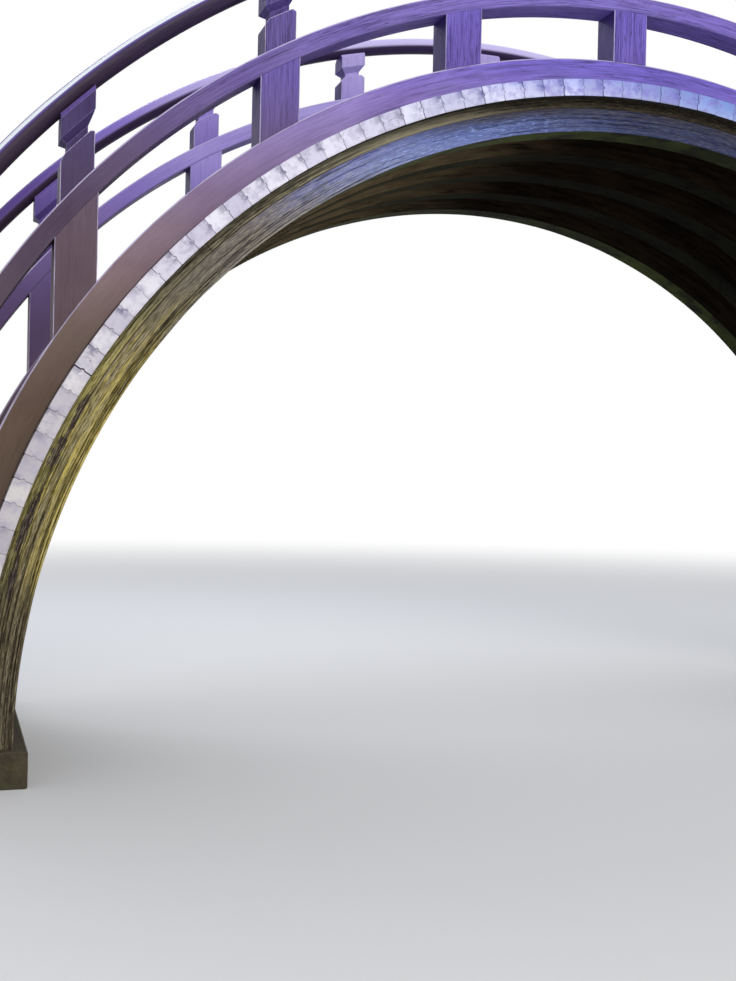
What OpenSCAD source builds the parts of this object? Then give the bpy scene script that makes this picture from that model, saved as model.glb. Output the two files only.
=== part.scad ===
// Moon bridge in timber, near a half circle, standing on two sole timbers.
// Millimetres. X runs along the span, Y across the deck, Z is up.
// The near side is -Y. All the arcs share one centre, at the height of the sole tops.

/* [Node] */
// Which piece to draw

/* [Arch] */
// Radius of the top of the ribs, where the planks lie
arch_r = 2900; // [2500:10:3300]
// Depth of a rib, along the radius
rib_depth = 150; // [110:1:200]
// Thickness of a rib, across the deck
rib_thick = 150; // [90:1:200]
// Thickness of the top board of a rib
board_t = 43; // [25:1:60]
// Open joint between two lengths of a rib, end to end
butt_gap = 3; // [1:0.5:6]
// How far the plank ends stand out past the outer ribs
rib_set = 48; // [15:1:90]

/* [Deck] */
// Width of the deck over the plank ends
deck_w = 2058; // [1800:2:2400]
// Thickness of a plank
plank_t = 77; // [50:1:100]
// Number of planks round the half circle
plank_n = 92; // [76:2:110]
// Open joint between two planks, measured on the ribs
plank_gap = 4; // [2:0.5:8]
// Treads nailed across each steep flank
tread_n = 9; // [5:1:11]
// Planks from one tread to the next
tread_step = 3; // [2:1:4]
// How far a tread stands up from the planks
tread_h = 70; // [40:1:90]
// Width of a tread along the slope
tread_w = 58; // [40:1:80]

/* [Railing] */
// How far the curb stands in from the plank ends
curb_set = 115; // [60:1:160]
// Height of the curb
curb_h = 128; // [90:1:160]
// Thickness of curb, mid rail and lower posts, across the deck
rail_thick = 163; // [120:1:190]
// From the plank tops to the underside of the mid rail
mid_rise = 366; // [300:1:420]
// Depth of the mid rail
mid_t = 79; // [55:1:100]
// From the plank tops to the middle of the handrail
hand_rise = 733; // [680:1:800]
// Thickness of the round handrail
hand_d = 88; // [70:1:110]
// Width of the lower part of a post
post_low_w = 173; // [140:1:200]
// Width of the upper part of a post
post_up_w = 138; // [110:1:160]
// How far the upper part steps back from the faces of the mid rail
post_back = 12; // [4:1:25]
// Corner taken off the top of a post
post_cut = 18; // [6:1:30]
// Eased edges of curb and mid rail
edge = 5; // [2:1:10]
// From the middle of the handrail down to the post tops
post_drop = 165; // [140:1:190]
// Height of the neck between post and bearing block
neck_h = 24; // [12:1:40]
// Width of the neck
neck_w = 84; // [60:1:100]
// Height of the tapered lower part of a bearing block
block_taper = 30; // [15:1:45]
// How deep the handrail lies in a bearing block
block_bed = 8; // [3:1:20]
// Slope cut along the top edges of a bearing block
block_cut = 18; // [6:1:24]

/* [Feet] */
// Height of a sole timber
sole_h = 150; // [100:1:200]
// Width of a sole timber
sole_w = 260; // [200:1:270]
// Width of an end post
newel_w = 200; // [170:1:240]
// How far an end post stands up past the handrail that meets it
newel_up = 190; // [120:1:320]
// Height of the sloping cap of an end post
cap_h = 60; // [30:1:90]

/* [Hidden] */
$fn = 180;

// Radii of the bands, from the inside out
rib_in = arch_r - rib_depth;
board_in = arch_r - board_t;
deck_top = arch_r + plank_t;
curb_top = deck_top + curb_h;
mid_in = deck_top + mid_rise;
mid_out = mid_in + mid_t;
hand_r = deck_top + hand_rise;
post_top = hand_r - post_drop;
block_foot = post_top + neck_h;
block_side = block_foot + block_taper;
block_top = hand_r - hand_d / 2 + block_bed;

// Across the deck, measured out from the middle line
rail_out = deck_w / 2 - curb_set;
rail_in = rail_out - rail_thick;
rail_mid = rail_out - rail_thick / 2;
rib_gap = (deck_w - 2 * rib_set - rib_thick) / 4;
up_thick = rail_thick - 2 * post_back;

// Half a joint between two lengths of a rib, and where the top boards meet, up from the feet
butt = butt_gap / arch_r * 90 / PI;
board_a = 46;

// Planks
pitch = 180 / plank_n;
joint = plank_gap / arch_r * 180 / PI;
side_n = floor(plank_n / 3);

// End posts
newel_x = (mid_in + mid_out) / 2;
post_gap = newel_x / 4;
newel_in = newel_x - newel_w / 2;
newel_top = sole_h + sqrt(hand_r * hand_r - newel_in * newel_in) + newel_up;
// The rails end in mortises, in the middle of the end posts
mid_end = acos((newel_in + newel_w * 0.1) / mid_in);
hand_end = acos(newel_x / hand_r);

// Colours
paint = [0.50, 0.43, 0.46];
plank_grey = [0.74, 0.73, 0.76];
rib_brown = [0.43, 0.40, 0.30];
sole_brown = [0.36, 0.31, 0.25];

// A band of an arc about the middle line of the bridge, from angle a0 to a1
module arc_band(r0, r1, y0, y1, a0, a1) {
  translate([0, 0, sole_h])
    rotate([90, 0, 0])
      rotate([0, 0, a0])
        rotate_extrude(angle = a1 - a0)
          translate([r0, -y1])
            square([r1 - r0, y1 - y0]);
}

// Height above the floor of an arc of radius r, at x
function up_at(r, x) = sole_h + sqrt(r * r - x * x);

// The round bar of a handrail, about the same centre
module arc_bar(r, y, d, a0, a1) {
  translate([0, 0, sole_h])
    rotate([90, 0, 0])
      rotate([0, 0, a0])
        rotate_extrude(angle = a1 - a0)
          translate([r, -y])
            circle(d = d, $fn = 32);
}

// A plumb slab of the given width and thickness, as tall as the bridge
module plumb(x, w, y, t) {
  translate([x - w / 2, y - t / 2, 0])
    cube([w, t, sole_h + hand_r]);
}

module sole(s) {
  x0 = rib_in - (sole_w - rib_depth) / 2;
  translate([s > 0 ? x0 : -x0 - sole_w, -deck_w / 2, 0])
    cube([sole_w, deck_w, sole_h]);
}

// A rib is laid up in two halves that meet at the crown, with three boards bent over them
module rib(k) {
  y0 = -deck_w / 2 + rib_set + (k - 1) * rib_gap;
  arc_band(rib_in, board_in, y0, y0 + rib_thick, 0, 90 - butt);
  arc_band(rib_in, board_in, y0, y0 + rib_thick, 90 + butt, 180);
}

module rib_board(k) {
  y0 = -deck_w / 2 + rib_set + (k - 1) * rib_gap;
  arc_band(board_in, arch_r, y0, y0 + rib_thick, 0, board_a - butt);
  arc_band(board_in, arch_r, y0, y0 + rib_thick, board_a + butt, 180 - board_a - butt);
  arc_band(board_in, arch_r, y0, y0 + rib_thick, 180 - board_a + butt, 180);
}

module planks(first, last) {
  for (k = [first : last])
    arc_band(arch_r, deck_top, -deck_w / 2, deck_w / 2, k * pitch + joint / 2, (k + 1) * pitch - joint / 2);
}

module treads(s) {
  half = tread_w / deck_top * 90 / PI;
  for (k = [0 : tread_n - 1]) {
    a = (1.5 + k * tread_step) * pitch;
    b = s > 0 ? a : 180 - a;
    arc_band(deck_top, deck_top + tread_h, -rail_in, rail_in, b - half, b + half);
  }
}

// The section of a curb, with the two upper edges eased
module curb_section() {
  polygon([[deck_top, -rail_thick / 2], [curb_top - edge, -rail_thick / 2],
    [curb_top, edge - rail_thick / 2], [curb_top, rail_thick / 2 - edge],
    [curb_top - edge, rail_thick / 2], [deck_top, rail_thick / 2]]);
}

module curb(s) {
  translate([0, s * rail_mid, 0])
    union() {
      translate([0, 0, sole_h])
        rotate([90, 0, 0])
          rotate_extrude(angle = 180)
            curb_section();
      linear_extrude(sole_h)
        curb_section();
      linear_extrude(sole_h)
        mirror([1, 0])
          curb_section();
    }
}

module mid_rail(s) {
  translate([0, s * rail_mid, sole_h])
    rotate([90, 0, 0])
      rotate([0, 0, mid_end])
        rotate_extrude(angle = 180 - 2 * mid_end)
          polygon([[mid_in + edge, -rail_thick / 2], [mid_out - edge, -rail_thick / 2],
            [mid_out, edge - rail_thick / 2], [mid_out, rail_thick / 2 - edge],
            [mid_out - edge, rail_thick / 2], [mid_in + edge, rail_thick / 2],
            [mid_in, rail_thick / 2 - edge], [mid_in, edge - rail_thick / 2]]);
}

module handrail(s) {
  arc_bar(hand_r, s * rail_mid, hand_d, hand_end, 180 - hand_end);
}

module posts_low(s) {
  for (i = [-3 : 3])
    intersection() {
      plumb(i * post_gap, post_low_w, s * rail_mid, rail_thick);
      arc_band(curb_top, mid_in, s * rail_mid - rail_thick, s * rail_mid + rail_thick, 10, 170, $fn = 720);
    }
}

// The upper part of a post, plumb, with its two top corners taken off
module posts_up(s) {
  for (i = [-3 : 3]) {
    x0 = i * post_gap - post_up_w / 2;
    x1 = i * post_gap + post_up_w / 2;
    intersection() {
      translate([0, s * rail_mid + up_thick / 2, 0])
        rotate([90, 0, 0])
          linear_extrude(up_thick)
            polygon([[x0, 0], [x1, 0], [x1, up_at(post_top, x1) - post_cut],
              [x1 - post_cut, up_at(post_top, x1 - post_cut)], [i * post_gap, sole_h + post_top + 5],
              [x0 + post_cut, up_at(post_top, x0 + post_cut)], [x0, up_at(post_top, x0) - post_cut]]);
      arc_band(mid_out, post_top, s * rail_mid - rail_thick, s * rail_mid + rail_thick, 10, 170, $fn = 720);
    }
  }
}

// A bearing block under the handrail: a neck, four faces that spread from it, plumb sides and a saddle
module blocks(s) {
  for (i = [-3 : 3]) {
    n0 = i * post_gap - neck_w / 2;
    n1 = i * post_gap + neck_w / 2;
    x0 = i * post_gap - post_up_w / 2;
    x1 = i * post_gap + post_up_w / 2;
    difference() {
      intersection() {
        translate([0, s * rail_mid + up_thick / 2, 0])
          rotate([90, 0, 0])
            linear_extrude(up_thick)
              polygon([[n0, 0], [n1, 0], [n1, up_at(block_foot, n1)], [x1, up_at(block_side, x1)],
                [x1, sole_h + hand_r], [x0, sole_h + hand_r], [x0, up_at(block_side, x0)],
                [n0, up_at(block_foot, n0)]]);
        translate([0, s * rail_mid, sole_h])
          rotate([90, 0, 0])
            rotate([0, 0, 10])
              rotate_extrude(angle = 160, $fn = 720)
                polygon([[post_top, -neck_w / 2], [block_foot, -neck_w / 2], [block_side, -up_thick / 2],
                  [block_top - block_cut, -up_thick / 2], [block_top, block_cut - up_thick / 2],
                  [block_top, up_thick / 2 - block_cut], [block_top - block_cut, up_thick / 2],
                  [block_side, up_thick / 2], [block_foot, neck_w / 2], [post_top, neck_w / 2]]);
      }
      arc_bar(hand_r, s * rail_mid, hand_d, 10, 170, $fn = 720);
    }
  }
}

module newel(sx, sy) {
  difference() {
    translate([sx * newel_x, sy * rail_mid, 0]) {
      translate([-newel_w / 2, -newel_w / 2, 0])
        cube([newel_w, newel_w, newel_top - cap_h]);
      translate([0, 0, newel_top - cap_h])
        rotate([0, 0, 45])
          cylinder(h = cap_h, r1 = newel_w / sqrt(2), r2 = newel_w / sqrt(2) * 0.3, $fn = 4);
    }
    mid_rail(sy);
    handrail(sy);
  }
}

module sole_left() { color(sole_brown) sole(-1); }
module sole_right() { color(sole_brown) sole(1); }
module rib_1() { color(rib_brown) rib(1); }
module rib_2() { color(rib_brown) rib(2); }
module rib_3() { color(rib_brown) rib(3); }
module rib_4() { color(rib_brown) rib(4); }
module rib_5() { color(rib_brown) rib(5); }
module rib_board_1() { color(rib_brown) rib_board(1); }
module rib_board_2() { color(rib_brown) rib_board(2); }
module rib_board_3() { color(rib_brown) rib_board(3); }
module rib_board_4() { color(rib_brown) rib_board(4); }
module rib_board_5() { color(rib_brown) rib_board(5); }
module deck_right() { color(plank_grey) planks(0, side_n - 1); }
module deck_crown() { color(plank_grey) planks(side_n, plank_n - side_n - 1); }
module deck_left() { color(plank_grey) planks(plank_n - side_n, plank_n - 1); }
module treads_left() { color(plank_grey) treads(-1); }
module treads_right() { color(plank_grey) treads(1); }
module curb_near() { color(paint) curb(-1); }
module curb_far() { color(paint) curb(1); }
module posts_low_near() { color(paint) posts_low(-1); }
module posts_low_far() { color(paint) posts_low(1); }
module mid_rail_near() { color(paint) mid_rail(-1); }
module mid_rail_far() { color(paint) mid_rail(1); }
module posts_up_near() { color(paint) posts_up(-1); }
module posts_up_far() { color(paint) posts_up(1); }
module blocks_near() { color(paint) blocks(-1); }
module blocks_far() { color(paint) blocks(1); }
module handrail_near() { color(paint) handrail(-1); }
module handrail_far() { color(paint) handrail(1); }
module newel_near_left() { color(paint) newel(-1, -1); }
module newel_near_right() { color(paint) newel(1, -1); }
module newel_far_left() { color(paint) newel(-1, 1); }
module newel_far_right() { color(paint) newel(1, 1); }

sole_left();
sole_right();
rib_1();
rib_2();
rib_3();
rib_4();
rib_5();
rib_board_1();
rib_board_2();
rib_board_3();
rib_board_4();
rib_board_5();
deck_left();
deck_crown();
deck_right();
treads_left();
treads_right();
curb_near();
curb_far();
posts_low_near();
posts_low_far();
mid_rail_near();
mid_rail_far();
posts_up_near();
posts_up_far();
blocks_near();
blocks_far();
handrail_near();
handrail_far();
newel_near_left();
newel_near_right();
newel_far_left();
newel_far_right();
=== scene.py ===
"""A timber moon bridge: weathered planks on laminated ribs, painted curbs and rails."""
import math
import random
from types import SimpleNamespace

import bmesh
import bpy
import numpy as np
from mathutils import Matrix, Vector


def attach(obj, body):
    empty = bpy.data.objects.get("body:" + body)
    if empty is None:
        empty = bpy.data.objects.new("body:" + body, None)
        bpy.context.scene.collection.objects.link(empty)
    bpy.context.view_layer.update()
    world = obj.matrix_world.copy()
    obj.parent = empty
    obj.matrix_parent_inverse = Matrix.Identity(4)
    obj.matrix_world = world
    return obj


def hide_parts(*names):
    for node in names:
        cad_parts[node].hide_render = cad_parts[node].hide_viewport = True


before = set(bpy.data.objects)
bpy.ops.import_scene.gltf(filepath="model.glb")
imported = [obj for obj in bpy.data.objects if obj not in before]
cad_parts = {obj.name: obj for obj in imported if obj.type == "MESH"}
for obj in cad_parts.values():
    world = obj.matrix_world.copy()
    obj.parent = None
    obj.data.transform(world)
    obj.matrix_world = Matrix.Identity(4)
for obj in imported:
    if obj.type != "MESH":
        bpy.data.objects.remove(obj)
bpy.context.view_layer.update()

# Thicknesses of what lies on the arch, in metres, as the part has them
RIB_DEPTH, BOARD_T, PLANK_T, CURB_H = 0.150, 0.043, 0.077, 0.128
MID_RISE, MID_T, HAND_RISE, HAND_D = 0.366, 0.079, 0.733, 0.088

# Radii of the arcs, which share one centre at the height of the soles
ARCH = 2.900
RIB_IN = ARCH - RIB_DEPTH
BOARD_IN = ARCH - BOARD_T
DECK = ARCH + PLANK_T
CURB = DECK + CURB_H
MID_IN = DECK + MID_RISE
MID_OUT = MID_IN + MID_T
HAND = DECK + HAND_RISE
POST_TOP = 3.545

# Widths across the deck
DECK_W, RIB_T, RIB_SET = 2.058, 0.150, 0.048
RAIL_T, CURB_SET = 0.163, 0.115
RAIL_MID = DECK_W / 2 - CURB_SET - RAIL_T / 2
RAIL_IN = RAIL_MID - RAIL_T / 2
RIB_GAP = (DECK_W - 2 * RIB_SET - RIB_T) / 4
OUTSIDE = DECK_W / 2 - RIB_SET

# Soles, posts, end posts, planks and treads
SOLE, SOLE_W = 0.150, 0.260
POST_LOW, POST_UP, UP_T, POST_CUT = 0.173, 0.138, 0.139, 0.018
NEWEL_X, NEWEL_W, CAP_H, NEWEL_UP = 3.3825, 0.200, 0.060, 0.190
POST_GAP = NEWEL_X / 4
NEWEL_TOP = SOLE + math.sqrt(HAND**2 - (NEWEL_X - NEWEL_W / 2) ** 2) + NEWEL_UP
PLANKS = 92
PITCH = 180 / PLANKS
TREADS, TREAD_STEP, TREAD_W, TREAD_H = 9, 3, 0.058, 0.070
BOARD_JOINT = 46

# Cuts at corners: of rails, of posts, and how far wear reaches in from an edge
EDGE, ARRIS, WORN = 0.005, 0.0025, 0.0015

# The camera stands where the photographer did: place in metres, turns in radians, focal length in pixels
CAM = Vector((-3.0189, -6.2691, 1.2403))
YAW, TILT, ROLL = math.radians(18.220), math.radians(-0.251), 0.0209
FOCAL, FRAME_H, SENSOR = 1276.9, 981, 36
ahead = Vector((math.sin(YAW) * math.cos(TILT), math.cos(YAW) * math.cos(TILT), math.sin(TILT)))
level = Vector((math.cos(YAW), -math.sin(YAW), 0))
lift = level.cross(ahead)
right = level * math.cos(ROLL) + lift * math.sin(ROLL)
up = lift * math.cos(ROLL) - level * math.sin(ROLL)
cam_data = bpy.data.cameras.new("camera")
cam_data.sensor_fit = "VERTICAL"
cam_data.sensor_height = SENSOR
cam_data.lens = FOCAL * SENSOR / FRAME_H
cam_data.clip_end = 200
camera = bpy.data.objects.new("camera", cam_data)
bpy.context.collection.objects.link(camera)
camera.matrix_world = Matrix([[right[i], up[i], -ahead[i], CAM[i]] for i in range(3)] + [[0, 0, 0, 1]])
bpy.context.scene.camera = camera

# Large odd numbers that scramble a cell's place into its noise
SCRAMBLE = (374761393, 668265263, 1440662683, 974634777)
LAST_SCRAMBLE = 1274126177
BITS_32, BITS_24 = 0xFFFFFFFF, 0xFFFFFF


# Noise for relief in the meshes
def lattice(*cell):
    """A fixed value from 0 to 1 for each cell, from its place and a seed."""
    h = sum(v * factor for v, factor in zip(cell, SCRAMBLE)) & BITS_32
    h = ((h ^ (h >> 13)) * LAST_SCRAMBLE) & BITS_32
    return ((h ^ (h >> 16)) & BITS_24) / float(BITS_24)


def rough(x, y, z=0.0, seed=0):
    """Smooth value noise from 0 to 1, on arrays."""
    x, y, z = np.broadcast_arrays(np.asarray(x, float), np.asarray(y, float), np.asarray(z, float))
    fx, fy, fz = np.floor(x), np.floor(y), np.floor(z)
    ix, iy, iz = (v.astype(np.int64) for v in (fx, fy, fz))
    ux, uy, uz = (v * v * (3 - 2 * v) for v in (x - fx, y - fy, z - fz))
    total = 0
    for a, wa in ((0, 1 - ux), (1, ux)):
        for b, wb in ((0, 1 - uy), (1, uy)):
            for c, wc in ((0, 1 - uz), (1, uz)):
                total = total + wa * wb * wc * lattice(ix + a, iy + b, iz + c, seed)
    return total


def smooth(v, a, b):
    """From 0 at a to 1 at b, smoothly."""
    t = np.clip((v - a) / (b - a), 0, 1)
    return t * t * (3 - 2 * t)


def arc(degrees):
    """Length along the top of the ribs, from the springing at +X."""
    return math.radians(degrees) * ARCH


def up_at(r, x):
    """Height of the arc of radius r at x."""
    return SOLE + np.sqrt(r * r - x * x)


# Mesh pieces. Each vertex carries its place in the grain, how pale its edge is (wear and painted highlight),
# the tone of
# its board, and a cell: where it lies across and up a plank's end, or how cracked and how rotten a rib is
# there
VALUES = (("grain", "FLOAT_VECTOR"), ("cell", "FLOAT_VECTOR"), ("edge", "FLOAT"), ("tone", "FLOAT"))


def join_parts(parts):
    """One list of vertices, faces and values from several parts."""
    out = {"v": [], "f": [], "grain": [], "edge": [], "tone": [], "cell": [], "mat": []}
    base = 0
    for p in parts:
        n = len(p["v"])
        for key in ("v", "grain", "edge"):
            out[key].append(np.asarray(p[key], float))
        out["cell"].append(np.asarray(p.get("cell", np.zeros((n, 3))), float))
        out["tone"].append(np.full(n, p.get("tone", 0.5)))
        out["f"].extend([tuple(int(i) + base for i in f) for f in p["f"]])
        out["mat"].extend(p.get("mat", [0] * len(p["f"])))
        base += n
    for key in ("v", "grain", "edge", "tone", "cell"):
        out[key] = np.concatenate(out[key])
    return out


def piece(name, parts, mats, nodes, sharp=28):
    """Makes a piece of the bridge from its parts, in place of the CAD nodes named.

    Edges that bend by less than sharp, in degrees, are shaded smooth.
    """
    d = join_parts(parts)
    me = bpy.data.meshes.new(name)
    me.from_pydata(d["v"].tolist(), [], d["f"])
    for key, kind in VALUES:
        a = me.attributes.new(key, kind, "POINT")
        a.data.foreach_set("vector" if kind == "FLOAT_VECTOR" else "value", d[key].astype(np.float32).ravel())
    me.polygons.foreach_set("material_index", np.array(d["mat"], dtype=np.int32))
    bm = bmesh.new()
    bm.from_mesh(me)
    bmesh.ops.recalc_face_normals(bm, faces=bm.faces)
    for e in bm.edges:
        e.smooth = e.calc_face_angle(0) < math.radians(sharp)
    for f in bm.faces:
        f.smooth = True
    bm.to_mesh(me)
    bm.free()
    for m in mats:
        me.materials.append(m)
    ob = bpy.data.objects.new(name, me)
    bpy.context.collection.objects.link(ob)
    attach(ob, "root")
    if nodes:
        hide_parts(*nodes)


def tube(rings, m):
    """Faces between rings of m points."""
    i = np.arange(rings - 1)[:, None] * m
    j = np.arange(m)[None, :]
    k = (j + 1) % m
    f = np.stack([i + j, i + k, i + m + k, i + m + j], -1).reshape(-1, 4)
    return [tuple(q) for q in f.tolist()]


def closed_tube(rings, m):
    """Faces between rings of m points, and one face over each end."""
    return tube(rings, m) + [tuple(range(m)), tuple((rings - 1) * m + q for q in range(m))]


def spaced(a, b, step):
    """Positions from a to b with one close to each end, so that a worn edge stays narrow."""
    n = max(1, int(round((b - a - 2 * WORN) / step)))
    return np.concatenate([[a], np.linspace(a + WORN, b - WORN, n + 1), [b]])


def worn_ends(values, low=1.0, high=1.0):
    """Each value with its wear: low at the first, high at the last, none between."""
    return list(zip(values, [low] + [0.0] * (len(values) - 2) + [high]))


# Half the width of a groove between two layers, and how pale a lower edge is: lower arrises get little wear
# and no painted highlight
GROOVE, LOW_WEAR = 0.0026, 0.1


def section(r0, r1, y0, y1, e, near=0.02, far=0.02, across=0.02, lines=()):
    """Points (r, y, edge) round a rectangle whose corners are cut by e.

    Near and far are the steps up the faces y0 and y1, across is the step between them, and lines are grooves.
    """
    extra = [r + s for r in lines for s in (-GROOVE, 0, GROOVE)]

    def ladder(step):
        plain = [r for r in spaced(r0 + e, r1 - e, step) if all(abs(r - x) > GROOVE / 2 for x in extra)]
        return worn_ends(sorted(plain + extra), low=LOW_WEAR)

    rungs = spaced(y0 + e, y1 - e, across)
    pts = [(r, y0, w) for r, w in ladder(near)] + [(r1, y, w) for y, w in worn_ends(rungs)]
    pts += [(r, y1, w) for r, w in ladder(far)[::-1]]
    pts += [(r0, y, w) for y, w in worn_ends(rungs[::-1], LOW_WEAR, LOW_WEAR)]
    return np.array(pts)


def band(sec, s0, s1, step, relief, tone, ease=0.001):
    """A section carried round the arch from s0 to s1, in metres along it.

    Beyond its springings it runs plumb. Its end faces are smaller by ease.
    """
    n = max(3, int(round((s1 - s0) / step)) + 1)
    s = np.linspace(s0, s1, n)
    s = np.concatenate([[s[0]], [s[0] + ease], s[1:-1], [s[-1] - ease], [s[-1]]])
    n, m = len(s), sec.shape[0]
    R = np.repeat(sec[None, :, 0], n, 0)
    Y = np.repeat(sec[None, :, 1], n, 0)
    S = np.repeat(s[:, None], m, 1)
    edge = np.repeat(sec[None, :, 2], n, 0)
    grain = np.stack([S, R, Y], -1).reshape(-1, 3)
    dr, dy = relief(S, R, Y)
    R, Y = R + dr, Y + dy
    for i in (0, n - 1):
        R[i] = R[i] + np.clip(R[i].mean() - R[i], -ease, ease)
        Y[i] = Y[i] + np.clip(Y[i].mean() - Y[i], -ease, ease)
    a = np.clip(s / ARCH, 0, math.pi)
    below = np.abs(s - a * ARCH)[:, None]
    V = np.stack([R * np.cos(a)[:, None], Y, SOLE + R * np.sin(a)[:, None] - below], -1)
    faces = closed_tube(n, m)
    return {"v": V.reshape(-1, 3), "f": faces, "grain": grain, "edge": edge.ravel(), "tone": tone}


def cut_corners(outline, c):
    """Points (x, z, edge) of an outline whose corners are cut by c."""
    pts = []
    n = len(outline)
    for i, corner in enumerate(outline):
        for other, order in ((outline[i - 1], (WORN, 0)), (outline[(i + 1) % n], (0, WORN))):
            d = other - corner
            length = float(np.hypot(*d))
            for extra in order:
                v = corner + d / length * min(c + extra, 0.49 * length)
                pts.append((float(v[0]), float(v[1]), 0.0 if extra else 1.0))
    return np.array(pts)


def inset(xz, d):
    """The closed outline moved inwards by d."""
    nxt, prv = np.roll(xz, -1, 0), np.roll(xz, 1, 0)
    area = 0.5 * np.sum(xz[:, 0] * nxt[:, 1] - nxt[:, 0] * xz[:, 1])
    side = 1 if area > 0 else -1

    def unit(v):
        return v / (np.hypot(v[:, 0], v[:, 1])[:, None] + 1e-12)

    def normal(a, b):
        t = unit(b - a)
        return np.stack([-t[:, 1], t[:, 0]], -1) * side

    n0, n1 = normal(prv, xz), normal(xz, nxt)
    both = unit(n0 + n1)
    k = np.clip(np.sum(both * n0, 1), 0.5, 1)
    return xz + both * (d / k)[:, None]


# How much less a corner is cut as its outline moves in, and the least cut
SHRINK, LEAST_CUT = 2 - math.sqrt(2), 0.0004


def prism(outline, y0, y1, c, b, tone, wave, seed, steps):
    """An outline in X and Z carried from y0 to y1. Its corners are cut by c, the edges of its ends by b."""

    def ring(d):
        return cut_corners(inset(np.array(outline), d), max(c - SHRINK * d, LEAST_CUT))

    whole, eased, face = ring(0.0), ring(b), ring(b + WORN)
    rings = [(face, y0, 0.0), (eased, y0, 1.0), (whole, y0 + b, 1.0)]
    rings += [(whole, y, None) for y in np.linspace(y0 + b + WORN, y1 - b - WORN, steps)]
    rings += [(whole, y1 - b, 1.0), (eased, y1, 1.0), (face, y1, 0.0)]
    V = np.array([(p[0], y, p[1]) for pts, y, _ in rings for p in pts])
    E = np.array([p[2] if e is None else e for pts, _, e in rings for p in pts])
    for a in (0, 2):
        V[:, a] += wave * (rough(V[:, 0] * 9, V[:, 1] * 4, V[:, 2] * 9, seed + a) - 0.5)
    faces = closed_tube(len(rings), len(whole))
    return {"v": V, "f": faces, "grain": V[:, (1, 0, 2)], "edge": E, "tone": tone}


# How far apart in the grain boards of different tones lie, and which way a shift in the grain goes
FAR_APART = (37.0, 11.0, 5.0)
SHIFT_WAY = (1.0, 0.7, 0.3)


# Materials
def colour(text):
    """The linear colour of an sRGB hex code."""
    v = [int(text[i : i + 2], 16) / 255 for i in (1, 3, 5)]
    return tuple(c / 12.92 if c <= 0.04045 else ((c + 0.055) / 1.055) ** 2.4 for c in v) + (1.0,)


class Nodes:
    """Short names for the nodes of a material or of the world."""

    def __init__(self, owner, output):
        owner.use_nodes = True
        self.t = owner.node_tree
        self.t.nodes.clear()
        self.out = self.new(output)

    def new(self, kind, **sockets):
        n = self.t.nodes.new("ShaderNode" + kind)
        for k, v in sockets.items():
            self.put(n.inputs[k], v)
        return n

    def put(self, socket, v):
        if isinstance(v, bpy.types.NodeSocket):
            self.t.links.new(v, socket)
        else:
            socket.default_value = v

    def math(self, op, a, b=0.0, kind="Math"):
        n = self.new(kind)
        n.operation = op
        self.put(n.inputs[0], a)
        self.put(n.inputs[1], b)
        return n.outputs["Value" if op == "LENGTH" else 0]

    def blend(self, fac, first, second):
        """A mix of two shaders."""
        n = self.new("MixShader")
        for socket, v in zip(n.inputs, (fac, first.outputs[0], second.outputs[0])):
            self.put(socket, v)
        return n.outputs[0]


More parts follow.
